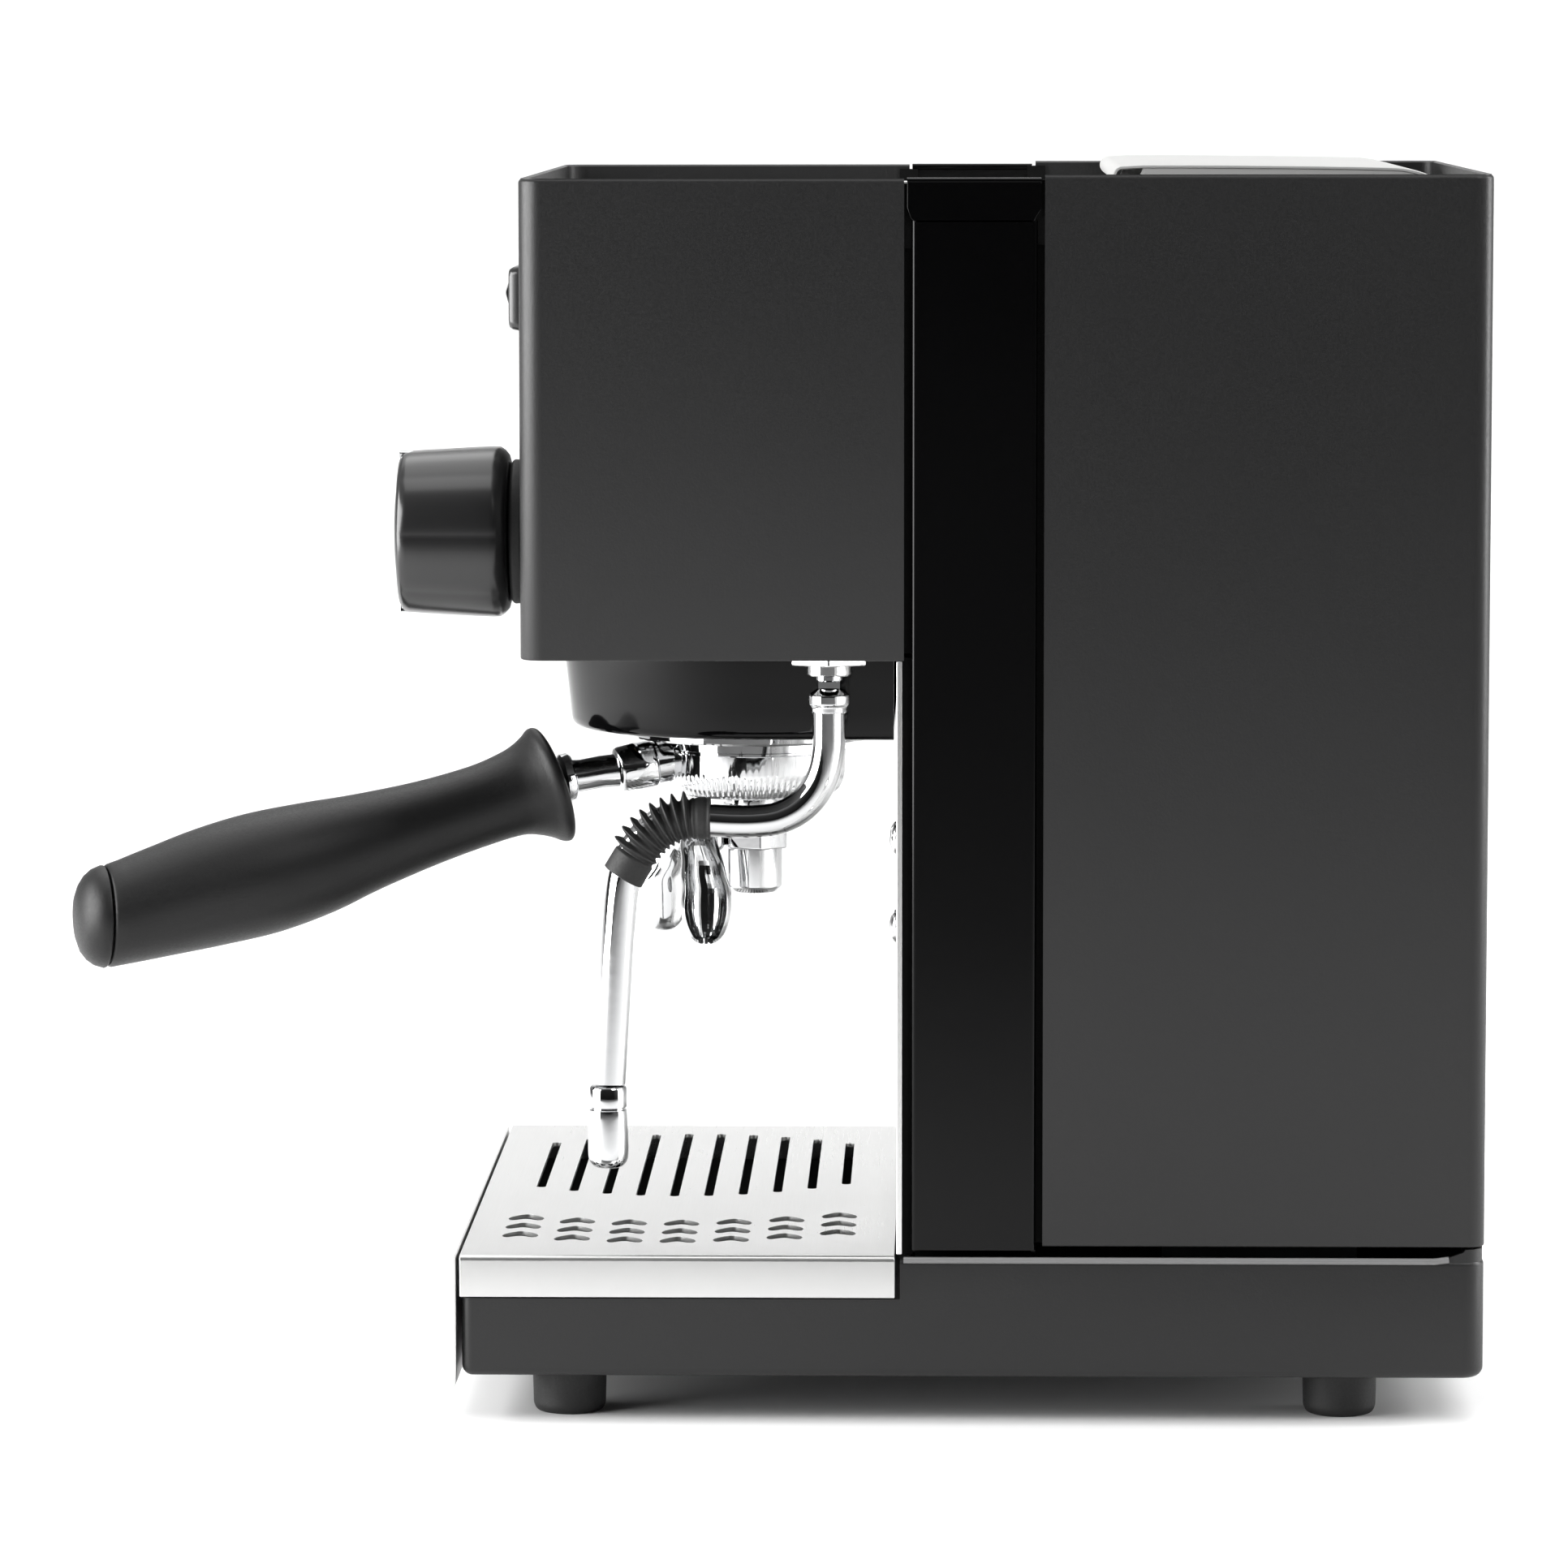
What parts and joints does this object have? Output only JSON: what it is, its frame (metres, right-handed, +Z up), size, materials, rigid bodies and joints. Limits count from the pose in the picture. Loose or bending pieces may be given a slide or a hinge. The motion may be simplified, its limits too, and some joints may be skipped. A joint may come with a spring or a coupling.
{
  "type": "espresso machine",
  "caption": "Home pump espresso machine: boxy steel body, lever-handled portafilter under a front group, jointed steam wand, lift-off grate over a slide-out drip tray, lift-out tank.",
  "frame": {"origin": "centre of the overall box in X and Y, on the plane the feet stand on", "axes": "+Z up, the front (knob, switches and portafilter handle) faces -Y, the steam wand is on the +X side; Y is the longest extent, through the handle"},
  "size_m": [0.2362, 0.398, 0.3472],
  "materials": {
    "black_sheet": "matt black powder coat on steel sheet",
    "gloss_black": "gloss black enamel",
    "gloss_plastic": "gloss black moulding",
    "soft_plastic": "fine grain black moulding",
    "rubber": "matt black rubber",
    "stainless": "satin brushed stainless steel",
    "chrome": "polished chrome plate",
    "brass": "cast and machined brass",
    "copper": "drawn copper tube",
    "tank_plastic": "smoke grey clear moulding",
    "lamp_lens": "amber lens",
    "zinc": "zinc plated sheet"
  },
  "bodies": {
    "chassis": {"base_pan": "black_sheet", "foot_front_left": "rubber", "foot_front_right": "rubber", "foot_rear_left": "rubber", "foot_rear_right": "rubber", "frame_column_left": "gloss_black", "frame_column_right": "gloss_black", "head_floor": "black_sheet", "front_panel": "black_sheet", "rear_panel": "black_sheet", "splash_panel": "stainless", "splash_screw_left": "stainless", "splash_screw_right": "stainless", "cup_tray": "stainless", "tank_surround": "soft_plastic", "group_cover": "gloss_plastic", "group_head": "brass", "group_gasket": "rubber", "shower_screen": "stainless", "boiler_shell": "brass", "boiler_cover": "brass", "heating_element": "copper", "brew_thermostat": "zinc", "steam_valve": "brass", "wand_nut": "stainless", "steam_pipe": "copper", "solenoid_valve": "soft_plastic", "boiler_feed_pipe": "copper", "pump_bracket": "zinc", "vibration_pump": "soft_plastic", "tank_shelf": "zinc", "tank_seat": "rubber", "suction_hose": "rubber", "power_inlet": "soft_plastic", "power_switch_frame": "soft_plastic", "brew_switch_frame": "soft_plastic", "hot_water_switch_frame": "soft_plastic", "steam_switch_frame": "soft_plastic", "heating_lamp": "lamp_lens"},
    "power_rocker": {"power_rocker": "soft_plastic"},
    "brew_rocker": {"brew_rocker": "soft_plastic"},
    "hot_water_rocker": {"hot_water_rocker": "soft_plastic"},
    "steam_rocker": {"steam_rocker": "soft_plastic"},
    "knob": {"steam_knob": "soft_plastic", "knob_cap": "soft_plastic", "valve_stem": "brass"},
    "wand_ball": {"wand_swivel": "chrome"},
    "wand": {"steam_wand": "chrome", "steam_tip": "chrome", "wand_grip": "rubber"},
    "portafilter": {"portafilter_bowl": "chrome", "portafilter_handle": "soft_plastic", "handle_end_cap": "soft_plastic", "filter_basket": "stainless", "double_spout": "chrome"},
    "tray": {"drip_tray": "soft_plastic", "tray_front": "stainless"},
    "grate": {"drip_grate": "stainless"},
    "tank": {"water_tank": "tank_plastic"},
    "lid": {"tank_lid": "stainless"}
  },
  "joints": [
    {"name": "power_switch_rock", "type": "hinge", "parent": "chassis", "child": "power_rocker", "pos_m": [-0.018, -0.0681, 0.3105], "axis": [1, 0, 0], "range_deg": [0, 14]},
    {"name": "brew_switch_rock", "type": "hinge", "parent": "chassis", "child": "brew_rocker", "pos_m": [0.016, -0.0681, 0.3105], "axis": [1, 0, 0], "range_deg": [0, 14]},
    {"name": "hot_water_switch_rock", "type": "hinge", "parent": "chassis", "child": "hot_water_rocker", "pos_m": [0.05, -0.0681, 0.3105], "axis": [1, 0, 0], "range_deg": [0, 14]},
    {"name": "steam_switch_rock", "type": "hinge", "parent": "chassis", "child": "steam_rocker", "pos_m": [0.084, -0.0681, 0.3105], "axis": [1, 0, 0], "range_deg": [0, 14]},
    {"name": "steam_knob_turn", "type": "hinge", "parent": "chassis", "child": "knob", "pos_m": [0.077, -0.0715, 0.245], "axis": [0, -1, 0], "range_deg": [0, 540]},
    {"name": "wand_swing", "type": "hinge", "parent": "chassis", "child": "wand_ball", "pos_m": [0.08, 0.0172, 0.199], "axis": [0, 0, 1], "range_deg": [-12, 75]},
    {"name": "wand_tilt", "type": "hinge", "parent": "wand_ball", "child": "wand", "pos_m": [0.08, 0.0172, 0.199], "axis": [1, 0, 0], "range_deg": [-18, 0]},
    {"name": "portafilter_lock", "type": "hinge", "parent": "chassis", "child": "portafilter", "pos_m": [0, -0.0059, 0.177], "axis": [0, 0, 1], "range_deg": [-60, 6]},
    {"name": "tray_slide", "type": "slide", "parent": "chassis", "child": "tray", "axis": [0, -1, 0], "range_m": [0, 0.11]},
    {"name": "grate_lift", "type": "slide", "parent": "tray", "child": "grate", "axis": [0, 0, 1], "range_m": [0, 0.012]},
    {"name": "tank_lift", "type": "slide", "parent": "chassis", "child": "tank", "axis": [0, 0, 1], "range_m": [0, 0.2]},
    {"name": "lid_lift", "type": "slide", "parent": "tank", "child": "lid", "axis": [0, 0, 1], "range_m": [0, 0.06]}
  ]
}
